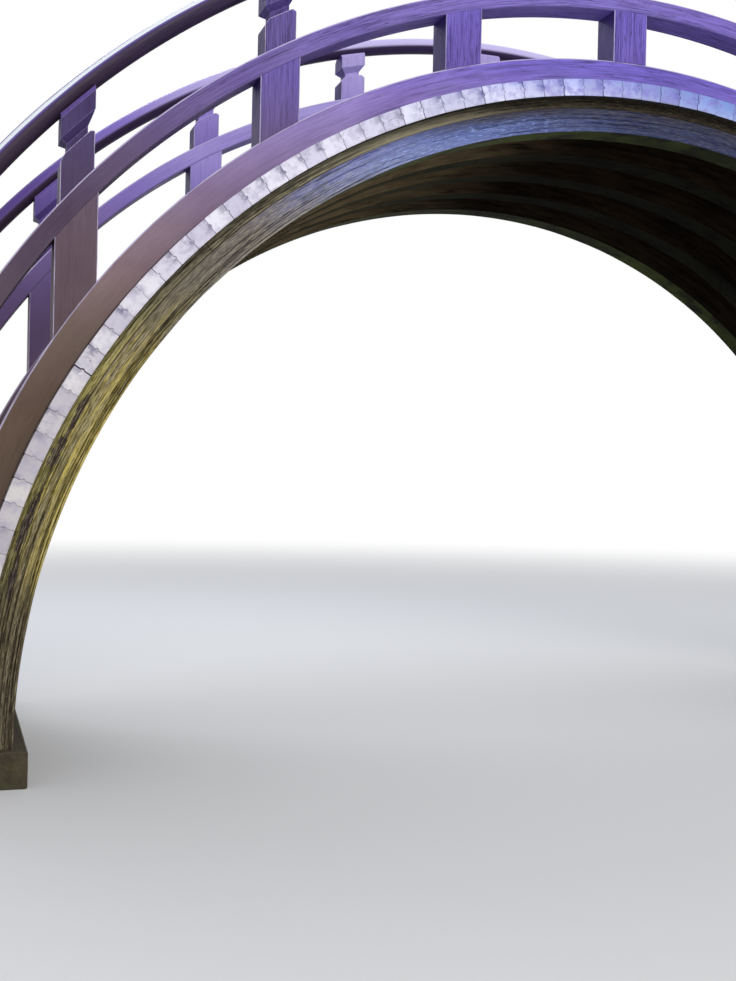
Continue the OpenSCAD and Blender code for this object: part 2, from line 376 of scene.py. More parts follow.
class Stuff(Nodes):
    """A material, made of masks from 0 to 1 and of colours laid over each other."""

    def __init__(self, name, specular=0.5):
        self.mat = bpy.data.materials.new(name)
        super().__init__(self.mat, "OutputMaterial")
        self.bsdf = self.new("BsdfPrincipled")
        self.bsdf.inputs["Specular IOR Level"].default_value = specular
        self.put(self.out.inputs[0], self.bsdf.outputs[0])

    def plus(self, a, b):
        return self.math("ADD", a, b)

    def less(self, a, b):
        return self.math("SUBTRACT", a, b)

    def times(self, a, b):
        return self.math("MULTIPLY", a, b)

    def unsigned(self, a):
        return self.math("ABSOLUTE", a)

    def attr(self, name, what="Fac"):
        n = self.new("Attribute")
        n.attribute_name = name
        return n.outputs[what]

    def where(self):
        return self.new("TexCoord").outputs["Object"]

    def parts(self, vec):
        return self.new("SeparateXYZ", Vector=vec).outputs

    def vec(self, op, a, b):
        return self.math(op, a, b, "VectorMath")

    def all(self, *masks):
        """High only where every mask is."""
        out = masks[0]
        for v in masks[1:]:
            out = self.times(out, v)
        return out

    def span(self, v, a, b, c=0.0, d=1.0, smooth=True):
        """From c where v is a to d where v is b."""
        n = self.new("MapRange")
        n.interpolation_type = "SMOOTHSTEP" if smooth else "LINEAR"
        for k, x in zip(("Value", "From Min", "From Max", "To Min", "To Max"), (v, a, b, c, d)):
            self.put(n.inputs[k], x)
        return n.outputs[0]

    def between(self, v, a, b, c, d):
        """High from b to c, clear below a and above d."""
        return self.all(self.span(v, a, b), self.span(v, d, c))

    def grain(self, shift=0.0):
        """Coordinates along the grain, moved on for each board."""
        tone = self.attr("tone")
        n = self.new("CombineXYZ")
        for socket, far in zip(n.inputs, FAR_APART):
            self.put(socket, self.times(tone, far))
        g = self.vec("ADD", self.attr("grain", "Vector"), n.outputs[0])
        return self.vec("ADD", g, tuple(shift * v for v in SHIFT_WAY)) if shift else g

    def noise(self, vec, scale=1.0, detail=4.0, rough=0.55, bend=0.0):
        values = {"Scale": scale, "Detail": detail, "Roughness": rough, "Distortion": bend}
        return self.new("TexNoise", Vector=vec, **values).outputs["Fac"]

    def fibres(self, along, across, detail=5.0, rough=0.6, bend=0.0, shift=0.0):
        """Noise drawn out along the grain: along and across are its scales per metre."""
        g = self.vec("MULTIPLY", self.grain(shift), (along, across, across))
        return self.noise(g, 1.0, detail, rough, bend)

    def line(self, value, width):
        """Thin lines where a noise crosses its middle."""
        return self.span(self.unsigned(self.less(value, 0.5)), width * 0.3, width, 1.0, 0.0)

    def ramp(self, v, stops):
        n = self.new("ValToRGB")
        self.put(n.inputs[0], v)
        els = n.color_ramp.elements
        while len(els) < len(stops):
            els.new(0.5)
        for e, (pos, c) in zip(els, stops):
            e.position = pos
            e.color = colour(c)
        return n.outputs[0]

    def by_height(self, stops, top=4.0):
        """A colour that changes with height: stops are colours by height in metres."""
        z = self.parts(self.where())[2]
        return self.ramp(self.span(z, 0.0, top, smooth=False), [(h / top, c) for h, c in stops.items()])

    def mix(self, fac, a, b, how="MIX"):
        n = self.new("Mix")
        n.data_type = "RGBA"
        n.blend_type = how
        self.put(n.inputs[0], fac)
        for s, v in ((n.inputs[6], a), (n.inputs[7], b)):
            self.put(s, colour(v) if isinstance(v, str) else v)
        return n.outputs[2]

    def lay(self, over, *masks, how="MIX"):
        """A colour laid over the colour so far where every mask is high."""
        self.col = self.mix(self.all(*masks), self.col, over, how)

    def finish(self, rough, high, strength, depth):
        """The material with its colour, its roughness and bumps from a mask of heights."""
        bump = self.new("Bump", Height=high, Strength=strength, Distance=depth)
        for k, v in (("Base Color", self.col), ("Roughness", rough), ("Normal", bump.outputs[0])):
            self.put(self.bsdf.inputs[k], v)
        return self.mat


# Heights between which the paint grows old, and those above which its side faces take a painted shade
OLD = (2.55, 3.20)
DARK_SIDES = (2.6, 3.0)
# How the face of the round rail that carries the painted highlight is turned: up and outwards
TO_SKY = (0.695, 0.719)
# Painted light on the upper half of the round rail's inner side, by height
LIT_LILAC = {2.4: "#453366", 2.8: "#5f4994", 3.2: "#8d79cc", 3.6: "#d6ccfa"}


def bar_painted_light(s, y, broad, top, line, rim):
    """The round rail's painted light: lighter on top, lit lilac inside towards its crown, and a painted
    highlight line with a softer rim.
    """
    r = s.parts(s.attr("grain", "Vector"))[1]
    high = s.math("DIVIDE", s.less(r, HAND), HAND_D / 2)
    outward = s.math("DIVIDE", s.less(s.unsigned(y), RAIL_MID), HAND_D / 2)
    facing = s.plus(s.times(high, TO_SKY[0]), s.times(outward, TO_SKY[1]))
    facing = s.plus(facing, s.times(s.less(broad, 0.5), 0.05))
    # Painted light: the lit top, lit lilac on the upper inner side, and the painted highlight's rim and line
    s.lay(top, s.span(high, 0.0, 0.85, 0.0, 0.85))
    s.lay(s.by_height(LIT_LILAC), s.span(high, -0.30, 0.10), s.span(outward, 0.10, -0.30))
    s.lay(rim, s.span(facing, 0.86, 0.965, 0.0, 0.70))
    s.lay(line, s.span(facing, 0.952, 0.976, 0.0, 0.97))


def paint(name, stops, inner=None, sides=None, bar=None, edge="#cfc6e4", worn=0.85, rough=(0.42, 0.62),
          shine=0.35):
    """Old paint on timber: even low down, with more open grain and cracks where the weather reaches it.

    Stops are its colours by height, inner the brighter violet of painted sunlight on tops and on faces that
    look across the deck, sides the dark violet of painted shade on the side faces beside the posts, and bar
    the three colours of a round rail's painted light.
    """
    s = Stuff(name, shine)
    place = s.where()
    _, y, z = s.parts(place)
    facing = s.parts(s.new("TexCoord").outputs["Normal"])
    inward = s.span(s.times(facing[1], s.math("SIGN", y)), -0.30, -0.85)
    s.col = s.by_height(stops)
    # Painted sunlight on tops and on faces that look across the deck
    if inner:
        s.lay(s.by_height(inner), s.math("MAXIMUM", inward, s.span(facing[2], 0.25, 0.65)))
    # Painted shade on the posts' side faces high up
    if sides:
        s.lay(sides, s.span(s.unsigned(facing[0]), 0.75, 0.95), s.span(z, *DARK_SIDES), 0.80)
    # Dark hollows in the grain, broader bands, pale ridges and faded patches
    old = s.all(s.span(z, *OLD, 0.22, 1.0), s.span(inward, 0, 1, 1.0, 0.35))
    fibre = s.fibres(7, 300, 6, 0.66)
    broad = s.fibres(2.4, 70, 5, 0.6, shift=3.0)
    patch = s.noise(place, 2.6, 5, 0.6)
    s.lay("#33284a", s.span(fibre, 0.46, 0.62), old, 0.46, how="MULTIPLY")
    s.lay("#3d3056", s.span(broad, 0.48, 0.70), old, 0.38, how="MULTIPLY")
    s.lay("#d5cdea", s.span(broad, 0.46, 0.28), old, 0.30, how="SOFT_LIGHT")
    s.lay("#9f93a2", s.span(patch, 0.40, 0.68, 0.0, 0.30), how="SOFT_LIGHT")
    cracks = s.line(s.fibres(3.0, 130, 3, 0.5, 0.4, 1.7), 0.018)
    crack = s.all(cracks, s.span(s.fibres(1.6, 13, 3), 0.38, 0.50), old)
    s.lay("#241d30", crack, 0.75)
    if bar:
        bar_painted_light(s, y, broad, *bar)
    # Bare pale edges, partly wear and partly a painted highlight on the arrises, and chips
    speck = s.fibres(9, 160, 5, 0.7)
    s.lay(edge, s.attr("edge"), s.span(speck, 0.36, 0.54, 0.25, 1.0), worn)
    chip = s.span(s.noise(place, 60, 3, 0.5), 0.755, 0.775)
    s.lay("#b5a9b0", chip, 0.45)
    high = s.plus(s.times(fibre, 0.6), s.times(broad, 0.5))
    high = s.less(s.times(high, old), s.times(crack, 1.3))
    return s.finish(s.span(patch, 0.3, 0.7, *rough), high, 0.5, 0.0014)


# Paint colours by height in metres: brown low down, violet towards the crown, where the violet is partly
# painted shade of blue skylight
CURB_OUTER = {0.3: "#52423a", 1.5: "#5d4837", 1.85: "#6e5a51", 2.05: "#81696b", 2.3: "#846c7f",
              2.6: "#8b74a3", 2.95: "#9580cb", 3.2: "#7d6ad6"}
# Inner colours by height: painted sunlight on tops and on faces that look across the deck
CURB_INNER_LIT = {0.3: "#584943", 1.5: "#65525c", 2.3: "#7d6b90", 2.95: "#a294d4", 3.2: "#a89ce0"}
LOW_OUTER = {1.6: "#645152", 2.2: "#67555e", 2.6: "#685870", 3.0: "#7361ae", 3.4: "#7d6bc8"}
LOW_INNER_LIT = {1.6: "#6d566a", 2.2: "#705c88", 2.6: "#8a77b6", 2.85: "#a28fe0", 3.05: "#b8a8f0", 3.4: "#c2b4f6"}
UP_OUTER = {1.9: "#4e4154", 2.5: "#4e4060", 2.8: "#574978", 3.4: "#7060aa"}
UP_INNER_LIT = {2.2: "#54427a", 2.6: "#5b488a", 2.9: "#7d68b6", 3.3: "#a695de", 3.7: "#c2b5f0"}
MID_OUTER = {1.4: "#5b4b50", 2.0: "#5d4d5b", 2.35: "#544359", 2.6: "#655375", 3.0: "#7a69aa", 3.5: "#8b7acd"}
RAIL = {1.0: "#34282f", 2.8: "#392b3e", 3.6: "#3e3152"}
# The round rail's painted light: its lit top, its highlight line and the highlight's rim
RAIL_PAINTED_LIGHT = ("#644a9c", "#f2f8fb", "#7b70b8")
BLOCK = {1.5: "#453850", 2.8: "#4b3d6a", 3.6: "#62529a"}
NEWEL = {0.0: "#4c3d37", 1.2: "#5a4a48", 2.4: "#66545f"}
# Painted shade on the posts' side faces
POST_SIDES = "#382765"

curb_paint = paint("curb_paint", CURB_OUTER, CURB_INNER_LIT)
low_paint = paint("low_post_paint", LOW_OUTER, LOW_INNER_LIT, POST_SIDES, shine=0.10)
up_paint = paint("up_post_paint", UP_OUTER, UP_INNER_LIT, POST_SIDES, shine=0.10)
mid_paint = paint("mid_paint", MID_OUTER, LOW_INNER_LIT, shine=0.10)
rail_paint = paint("rail_paint", RAIL, bar=RAIL_PAINTED_LIGHT, edge="#8c80b4", rough=(0.34, 0.46), shine=0.15)
block_paint = paint("block_paint", BLOCK, UP_INNER_LIT, edge="#a398cc", shine=0.10)
newel_paint = paint("newel_paint", NEWEL, edge="#b6abc8", worn=0.6)

# Heights between which the plank ends take a painted bluish shade, and the stretch right of the crown where
# it is strongest
CROWN_ENDS = (2.85, 3.10)
BLUE_ENDS = (arc(96), arc(78))
# End grain by height: the bluish top stops are painted shade at the crown
END_GRAIN = {0.3: "#cdc7c1", 1.5: "#e2dddb", 2.1: "#f3eff8", 2.7: "#f0edfd", 3.0: "#e2e4ff", 3.12: "#b2bcf8"}


def plank_end():
    """Silvered end grain: grey marks beside the tongues, faint rings, joints as fine grey lines, and painted
    blue shade about the crown.
    """
    s = Stuff("plank_end", 0.3)
    z = s.parts(s.where())[2]
    along = s.parts(s.attr("grain", "Vector"))[0]
    t, h, _ = s.parts(s.attr("cell", "Vector"))
    high_up = s.span(z, *CROWN_ENDS)
    s.col = s.by_height(END_GRAIN)
    # Painted blue shade at the crown, strongest right of it; the clouds and marks below are bluer there too
    s.lay("#6f97dc", high_up, s.span(along, *BLUE_ENDS), 0.92)
    s.lay("#b5afc6", s.span(s.attr("tone"), 0.2, 1, 0.0, 0.48), how="MULTIPLY")
    # Clouds of grey, then grey marks at both sides of a plank and at its foot
    cloud = s.noise(s.grain(), 24, 6, 0.62)
    clouds = s.all(s.span(cloud, 0.42, 0.66), s.span(high_up, 0, 1, 0.45, 0.80))
    s.lay(s.mix(high_up, "#aca6bf", "#8c86d4"), clouds)
    which = s.noise(s.grain(7.0), 3.0, 1)
    ragged = s.span(s.noise(s.grain(2.0), 30, 6, 0.65), 0.36, 0.58)
    mark = s.all(s.span(t, -0.05, -0.90), s.span(h, 0.10, 0.60), ragged, s.span(which, 0.34, 0.58, 0.25, 1.0))
    s.lay(s.mix(high_up, "#77718f", "#6a6cb6"), mark)
    mark = s.all(s.span(t, 0.45, 1.0), s.span(h, 0.25, 0.95), s.span(cloud, 0.42, 0.56))
    mark = s.all(mark, s.span(which, 0.62, 0.38, 0.0, 0.7))
    s.lay(s.mix(high_up, "#8f8aa6", "#8485c6"), mark)
    foot = s.all(s.span(h, 0.16, 0.0), s.span(s.noise(s.grain(5.0), 16, 4, 0.6), 0.46, 0.62))
    s.lay("#8d8a80", foot, 0.45)
    # Rings about a heart below the plank
    from_heart = s.vec("ADD", s.attr("cell", "Vector"), (0.3, 1.6, 0.0))
    ring = s.new("TexWave", Vector=from_heart, Scale=3.2, Distortion=1.2, Detail=2)
    ring.wave_type = "RINGS"
    ring.rings_direction = "SPHERICAL"
    s.lay("#8d8698", ring.outputs["Fac"], 0.10)
    crack = s.line(s.noise(s.grain(), 13, 3, 0.55, 1.2), 0.008)
    crack = s.all(crack, s.span(s.noise(s.grain(), 6.0, 2), 0.56, 0.66))
    s.lay("#5c566a", crack, 0.55)
    # Joints, fainter in the upper half of a plank low down
    faint = s.all(s.span(h, 0.45, 0.75, 1.0, 0.25), s.span(z, 1.9, 2.3, 1.0, 0.0))
    side = s.all(s.span(s.unsigned(t), 0.965, 1.0), s.span(which, 0.36, 0.60, 0.12, 0.75))
    s.lay(s.mix(high_up, "#77728e", "#565a86"), s.less(side, s.all(faint, side, 0.5)))
    return s.finish(0.85, s.less(s.times(cloud, 0.5), crack), 0.5, 0.0015)


def bare_wood(name, light, dark, deep, moss=None, strength=0.6, under=None):
    """Bare timber with raised grain, weathering checks and, if asked, moss or a painted shade on the
    underside.
    """
    s = Stuff(name, 0.3)
    tone = s.attr("tone")
    fibre = s.fibres(4.5, 220, 7, 0.66)
    broad = s.fibres(1.4, 18, 5, 0.6)
    s.col = s.mix(s.span(broad, 0.32, 0.70), light, dark)
    s.lay(dark, s.span(tone, 0, 1, 0.0, 0.45))
    if under:
        s.lay(deep, s.span(tone, 0.35, 1.0, 0.0, 0.45))
    s.lay(deep, s.span(fibre, 0.42, 0.66, 0.0, 0.65))
    crack = s.all(s.line(s.fibres(1.8, 95, 2, 0.4, 0.5), 0.013), s.span(s.fibres(1.1, 10, 3), 0.46, 0.6))
    s.lay(deep, crack, 0.8)
    if moss:
        s.lay(moss, s.span(s.noise(s.where(), 5.0, 6, 0.65), 0.45, 0.62, 0.0, 0.45))
    # Pale edges, partly wear and partly a painted highlight on the arrises
    s.lay(light, s.attr("edge"), s.span(fibre, 0.4, 0.55, 0.1, 0.5))
    if under:
        # Some planks are paler, their sides are dark in the joints, and their undersides carry a painted
        # shade
        beside, above, _ = s.parts(s.attr("cell", "Vector"))
        paler = s.span(s.math("FRACT", s.times(tone, 7.3)), 0.55, 1.0, 0.0, 0.45)
        s.lay("#c3bdb6", paler, how="SOFT_LIGHT")
        s.lay("#1d1814", s.span(s.unsigned(beside), 0.80, 0.97, 0.0, 0.80))
        s.lay(under, s.span(above, 0.9, 0.0, 0.0, 0.96))
    high = s.less(s.plus(s.times(fibre, 0.8), s.times(broad, 0.4)), crack)
    return s.finish(0.86, high, strength, 0.002)


# Zones on the ribs, from where a mask is clear to where it is full: lengths along the arch, heights and radii
OPEN_SIDE = (arc(90), arc(114))
LEFT = (arc(86), arc(105))
SOFFIT = (RIB_IN + 0.0018, RIB_IN + 0.0008)
OUTER_FACE = (OUTSIDE - 0.0022, OUTSIDE - 0.0006)
BOARD_FOOT = (BOARD_IN - 0.0003, BOARD_IN + 0.0003)
CROWN = (2.45, 2.90)
LOW_LAYERS, LOWEST_LAYER = (2.822, 2.806), (2.790, 2.776)
# Bands on the ribs that are clear, full, full and clear again at these heights or radii
MOSSY = (0.65, 1.10, 1.65, 2.10)
# The bluish band carries patches of painted blue sky sheen
BLUISH = (2.36, 2.50, 2.62, 2.85)
DAMP = (0.70, 0.95, 1.45, 1.66)
SHADY = (1.44, 1.60, 1.95, 2.15)
PALE = (1.75, 2.05, 2.30, 2.75)
UNDER_BOARD = (2.828, 2.838, 2.848, 2.858)
RIB_TOP = 3.1
# Rib face by height: the blue stops towards the crown are painted skylight
RIB_FACE = {0.3: "#594f41", 0.9: "#6c6147", 1.3: "#887d50", 1.65: "#8f8460", 2.0: "#766e62", 2.3: "#7b7573",
            2.45: "#8b8a9f", 2.62: "#8c96c8", 2.8: "#6978b2", 2.95: "#545f92"}
# Top board by height: the bright stops about 1.5 to 1.9 m are partly painted sunlight, the dark top stop
# painted shadow
TOP_BOARD = {0.3: "#4e4839", 1.1: "#726b49", 1.45: "#9a9058", 1.72: "#cfc27c", 1.92: "#918a68",
             2.1: "#77705f", 2.65: "#958f78", 2.88: "#867f6c", 2.97: "#3a352f"}


def rib_grain(s):
    """The coordinates and grain that the colours of a rib share."""
    place = s.where()
    z = s.parts(place)[2]
    along, r, y = s.parts(s.attr("grain", "Vector"))
    g = SimpleNamespace(place=place, z=z, along=along, r=r, y=y)
    g.mark, g.gouge, _ = s.parts(s.attr("cell", "Vector"))
    g.fibre = s.fibres(24, 380, 5, 0.68)
    g.streak = s.fibres(1.9, 190, 5, 0.62, 0.15)
    g.patch = s.fibres(4, 30, 5, 0.62)
    return g


def face_masks(s, g):
    """Masks of the outer face: its crown, its calm and mossy heights, strands of moss, a ragged radius."""
    g.crown = s.span(g.z, *CROWN)
    g.calm = s.span(g.crown, 0, 1, 1.0, 0.30)
    g.low = s.between(g.z, *MOSSY)
    strands = s.less(s.fibres(2.6, 170, 4, 0.6, 0.1, 9.4), s.all(s.span(g.r, *LOWEST_LAYER), -0.05))
    g.moss = s.all(s.span(strands, 0.47, 0.52), s.span(s.fibres(3.2, 26, 4, 0.6, 0, 4.1), 0.40, 0.52), g.low)
    g.ragged = s.plus(g.r, s.times(s.less(s.noise(g.place, 7.0, 6, 0.66), 0.5), 0.05))


def rib_inside(s, g, outer):
    """The shaded wood between the ribs, with some green on the soffits and light from the open left side."""
    open_side = s.span(g.along, *OPEN_SIDE)
    s.col = s.mix(s.span(g.patch, 0.36, 0.66), "#2c2218", "#18130e")
    s.lay("#0e0b08", s.span(g.fibre, 0.46, 0.66, 0.0, 0.6))
    s.lay("#8a795c", open_side, s.span(g.patch, 0.62, 0.40, 0.60, 1.0))
    soffit = s.span(g.r, *SOFFIT)
    s.lay(s.mix(open_side, "#100e09" if outer else "#0a0805", "#3a3524"), soffit)
    tufts = s.span(s.noise(g.place, 7.0, 6, 0.65), 0.36, 0.58)
    tufts = s.all(tufts, s.span(s.noise(g.place, 1.6, 3), 0.60, 0.44, 0.35, 1.0))
    spread = (0.48, 0.75) if outer else (0.30, 0.70)
    green = s.all(soffit, tufts, s.span(open_side, 0, 0.6, *spread))
    s.lay(s.mix(open_side, "#46521f", "#4e5634") if outer else "#22261a", green)


def rib_face(s, g):
    """The outer face under the top board: painted blue sky sheen near the crown, painted shade right of it
    and under the deck's overhang, yellow-green moss on the layers low down.
    """
    left = s.span(g.along, *LEFT)
    s.col = s.by_height(RIB_FACE, RIB_TOP)
    # Painted shade right of the crown, then patches of painted blue sky sheen
    s.lay("#31385a", s.span(g.z, 2.30, 2.78), s.less(1.0, left))
    blue = s.all(s.between(g.z, *BLUISH), s.span(g.r, 2.785, 2.815), s.span(g.patch, 0.60, 0.45))
    s.lay("#7c80c6", blue, 0.55)
    s.lay("#453d28", s.between(g.z, *DAMP), s.span(g.r, 2.826, 2.846), 0.45)
    # Painted shadow of the deck's overhang near the crown
    brown = s.all(s.span(g.ragged, 2.790, 2.852), s.span(g.z, 2.68, 2.93), s.span(left, 0, 1, 0.45, 0.88))
    s.lay("#343237", brown)
    # Dark patches, dark streaks and pale ones
    s.lay("#554d40", s.span(g.patch, 0.40, 0.66), g.calm, 0.28)
    drawn = s.all(g.calm, s.span(g.low, 0, 1, 0.16, 0.48))
    s.lay("#3a3228", s.span(g.streak, 0.53, 0.57), drawn)
    s.lay("#b5ac92", s.span(g.streak, 0.47, 0.42), drawn, 0.8)
    # Moss in strands on the low layers and under the board, as a veil, and golden at the foot
    zone = s.plus(s.span(g.r, *LOW_LAYERS), s.all(s.between(g.r, *UNDER_BOARD), 0.9))
    s.lay("#cdb95c", g.moss, zone, 0.95)
    veil = s.span(s.noise(g.place, 9.0, 5, 0.6), 0.42, 0.62)
    s.lay("#a99c58", veil, g.low, s.span(g.r, 2.815, 2.77, 0.18, 0.32))
    s.lay("#4a442c", s.span(g.r, 2.795, 2.768), s.between(g.z, *SHADY), 0.42)
    foot = s.all(g.low, s.span(g.z, 1.62, 1.45), s.span(g.r, 2.812, 2.772, 0.0, 0.60))
    s.lay("#cab86c", foot, s.span(g.patch, 0.66, 0.40, 0.6, 1.0))
    s.lay("#b4afa6", s.span(g.r, 2.775, 2.755), s.between(g.z, *PALE), 0.35)


def board_face(s, g):
    """The top board: greener than the rib low down, with painted shade under the planks and painted shadow at
    the crown.
    """
    s.col = s.by_height(TOP_BOARD, RIB_TOP)
    s.lay("#4b4433", s.span(g.patch, 0.44, 0.62), 0.22)
    s.lay("#3c3527", s.span(g.streak, 0.53, 0.57), g.calm, 0.26)
    s.lay("#b5a84e", g.moss, 0.55)
    # Painted shade under the planks, and painted shadow at the crown
    s.lay("#2e291e", s.span(g.ragged, 2.866, 2.890, 0.0, 0.26))
    s.lay("#251f1a", s.span(g.z, 2.80, 2.93), s.span(g.along, arc(99), arc(92)), 0.85)


def weathered(s, g):
    """What both parts of the outer face share: painted glints, rot, fine grain and the open joint between
    them.
    """
    # Painted glints of sky reflection, strongest left of the crown
    painted_glint = s.span(s.fibres(26, 240, 5, 0.7, shift=2.2), 0.54, 0.62)
    painted_glint = s.all(painted_glint, s.span(g.r, 2.85, 2.80), s.span(g.z, 2.4, 2.6))
    s.lay("#9db4f6", painted_glint, s.span(g.along, arc(90), arc(108), 0.10, 0.95))
    rot = s.plus(g.gouge, s.times(s.less(s.fibres(34, 260, 5, 0.7), 0.5), 1.5))
    rot = s.span(rot, 0.30, 0.46)
    s.lay("#4b4044", rot, 0.92)
    s.lay("#85757c", rot, s.span(g.fibre, 0.56, 0.62), 0.45)
    s.lay("#2a2219", s.span(g.fibre, 0.51, 0.56), g.calm, s.span(g.low, 0, 1, 0.34, 0.58))
    s.lay("#cdbf94", s.span(g.fibre, 0.47, 0.42), g.calm, s.span(g.low, 0, 1, 0.32, 0.46))
    joint = s.span(s.unsigned(s.less(g.r, BOARD_IN)), 0.0016, 0.0040, 0.95, 0.0)
    joint = s.all(joint, s.span(g.patch, 0.62, 0.46, 0.7, 1.0), s.span(g.crown, 0, 1, 1.0, 0.35))
    s.lay("#17130f", joint)


def rib_wood(name, outer):
    """Ribs: brown-black where the deck shades them, weathered on the outer faces."""
    s = Stuff(name, 0.07 if outer else 0.03)
    g = rib_grain(s)
    rib_inside(s, g, outer)
    crack = s.line(s.fibres(2.0, 100, 3, 0.5, 0.3, 6.1), 0.018)
    crack = s.all(crack, s.span(s.fibres(1.6, 16, 3), 0.42, 0.55))
    mark = g.mark
    if outer:
        face_masks(s, g)
        inside = s.col
        rib_face(s, g)
        face = s.col
        board_face(s, g)
        s.col = s.mix(s.span(g.r, *BOARD_FOOT), face, s.col)
        weathered(s, g)
        s.col = s.mix(s.span(s.unsigned(g.y), *OUTER_FACE), inside, s.col)
        crack = s.all(crack, g.calm, 0.65)
        mark = s.all(mark, s.span(g.crown, 0, 1, 0.92, 0.30))
    s.lay("#15110e", crack, 0.9)
    s.lay("#110e0b", mark)
    high = s.less(s.plus(s.times(g.fibre, 0.7), s.times(g.streak, 0.9)), crack)
    return s.finish(0.80 if outer else 0.95, high, 0.7, 0.003)


def nail_head():
    """Iron with rust in patches."""
    s = Stuff("nail_iron")
    s.bsdf.inputs["Metallic"].default_value = 0.6
    rust = s.noise(s.where(), 90, 4, 0.6)
    s.col = s.mix(s.span(rust, 0.4, 0.65), "#3b332e", "#6a4a35")
    return s.finish(0.62, rust, 0.3, 0.0005)


end_grain = plank_end()
plank_wood = bare_wood("plank_wood", "#a8a19c", "#857c74", "#4a423b", under="#231d17")
tread_wood = bare_wood("tread_wood", "#9b938b", "#7a7066", "#443c35", strength=0.7)
sole_wood = bare_wood("sole_wood", "#54483a", "#3c3228", "#1f1a15", moss="#4a4f2b")
outer_rib = rib_wood("rib_outer", True)
inner_rib = rib_wood("rib_inner", False)
nail_iron = nail_head()


# Ribs: the layers near the soffit have come apart a little. Radii of the joints between them
LAYERS = (2.762, 2.772, 2.783, 2.811)
# Rotten patches at the joint under the top board: angle from the springing, half length, radius, half width
ROTTEN = ((13.8, 2.3, 2.851, 0.015), (18.8, 3.0, 2.860, 0.017), (24.9, 1.9, 2.866, 0.020),
          (28.3, 2.4, 2.862, 0.015))
RIBS = 5
OUTER_RIBS = (1, RIBS)
# Steps up the outer and the other faces, and along outer and inner ribs
FINE, COARSE, OUTER_RING, INNER_RING = 0.0034, 0.016, 0.010, 0.045
BOARD_GAP, RIB_EASE, ON_FACE = 0.0012, 0.0012, 1e-6


def splits(seed, count, r0, r1):
    """Splits along the grain: place, radius, half length, width, depth and drift of each."""
    rng = random.Random(seed)
    limits = ((0.05, 9.06), (r0 + 0.008, r1 - 0.006), (0.06, 0.42), (0.001, 0.0019), (0.002, 0.006),
              (-0.008, 0.008))
    return [[rng.uniform(*pair) for pair in limits] for _ in range(count)]


def gouges(turn, S, R):
    """How deep the rot has gone, from 0 to 1."""
    ragged = 0.45 * rough(S * 11, R * 70, 0, 71) + 0.55 * rough(S * 42, R * 210, 0, 72)
    deep = np.zeros_like(S)
    for at, length, radius, width in ROTTEN:
        near = ((turn - at) / length) ** 2 + ((R - radius) / width) ** 2
        deep = np.maximum(deep, smooth(1.9 * ragged - near - 0.15, 0.0, 0.35))
    return deep


def rib_relief(y0, y1, seed, cuts, layers, marks):
    """Weathering of a rib: layers that stand back from each other, open joints, splits and rotten patches."""

    def f(S, R, Y):
        near, far = np.abs(Y - y0) < ON_FACE, np.abs(Y - y1) < ON_FACE
        turn = np.degrees(np.minimum(S, arc(180) - S) / ARCH)
        depth = 0.0012 * rough(S * 1.3, R * 16, 0, seed) + 0.0010 * rough(S * 7.0, R * 260, 0, seed + 1)
        mark = np.zeros_like(S)
        # Joints between the layers are most open about the haunches
        loose = 0.5 * smooth(turn, 6, 14) * smooth(turn, 44, 30) - 0.35 * smooth(turn, 50, 68)
        for k, radius in enumerate(layers):
            apart = np.clip(rough(S * 1.7, k * 7.3, 0, seed + 5) * 2.0 - 0.55 + loose, 0, 1)
            bell = apart * np.exp(-(((R - radius) / 0.0016) ** 2))
            depth = depth + 0.0040 * bell + 0.0010 * rough(S * 0.9, k * 3.1, 0, seed + 9) * (R < radius)
            mark = np.maximum(mark, 0.95 * bell)
        for at, radius, length, width, deep, drift in cuts:
            u = (S - at) / length
            line = radius + drift * u + 0.0012 * np.sin(S * 31 + radius * 900)
            bell = np.where(np.abs(u) < 1, (1 - u**2) * np.exp(-(((R - line) / width) ** 2)), 0)
            depth = depth + deep * bell
            mark = np.maximum(mark, bell)
        rot = gouges(turn, S, R)
        depth = depth + 0.007 * rot
        outward = near if abs(y0) > abs(y1) else far
        dy = np.where(near, depth, 0) - np.where(far, depth, 0)
        dr = np.where(np.abs(R - RIB_IN) < ON_FACE, 0.0025 * rough(S * 5, Y * 30, 0, seed + 3), 0)
        marks.append(np.stack([np.where(near | far, mark, 0), np.where(outward, rot, 0), 0 * S], -1))
        return dr, dy

    return f


def rib_parts(k, lower):
    """The half arches of a rib, or its three top boards."""
    y0 = -DECK_W / 2 + RIB_SET + (k - 1) * RIB_GAP
    y1 = y0 + RIB_T
    outer = k in OUTER_RIBS
    near, far = (FINE if k == side else COARSE for side in OUTER_RIBS)
    if lower:
        r0, r1, ends = RIB_IN, BOARD_IN, (0, 90, 180)
        gap, count, turn_tone = 0.0, 170, 0
    else:
        r0, r1, ends = BOARD_IN, ARCH, (0, BOARD_JOINT, 180 - BOARD_JOINT, 180)
        gap, count, turn_tone = BOARD_GAP, 80, 0.31
    layers = LAYERS if lower and outer else ()
    sec = section(r0, r1, y0, y1, 0.002, near, far, lines=layers)
    cuts = splits(100 + k + 10 * lower, count if outer else 20, r0, r1)
    parts = []
    for n in range(len(ends) - 1):
        marks = []
        relief = rib_relief(y0, y1, 40 * k + 7 * lower, cuts, layers, marks)
        s0, s1 = arc(ends[n]) + gap * (n > 0), arc(ends[n + 1]) - gap * (n < len(ends) - 2)
        tone = 0.13 * k + 0.2 * lower + turn_tone * n
        part = band(sec, s0, s1, OUTER_RING if outer else INNER_RING, relief, tone, RIB_EASE)
        part["cell"] = marks[0].reshape(-1, 3)
        parts.append(part)
    return parts


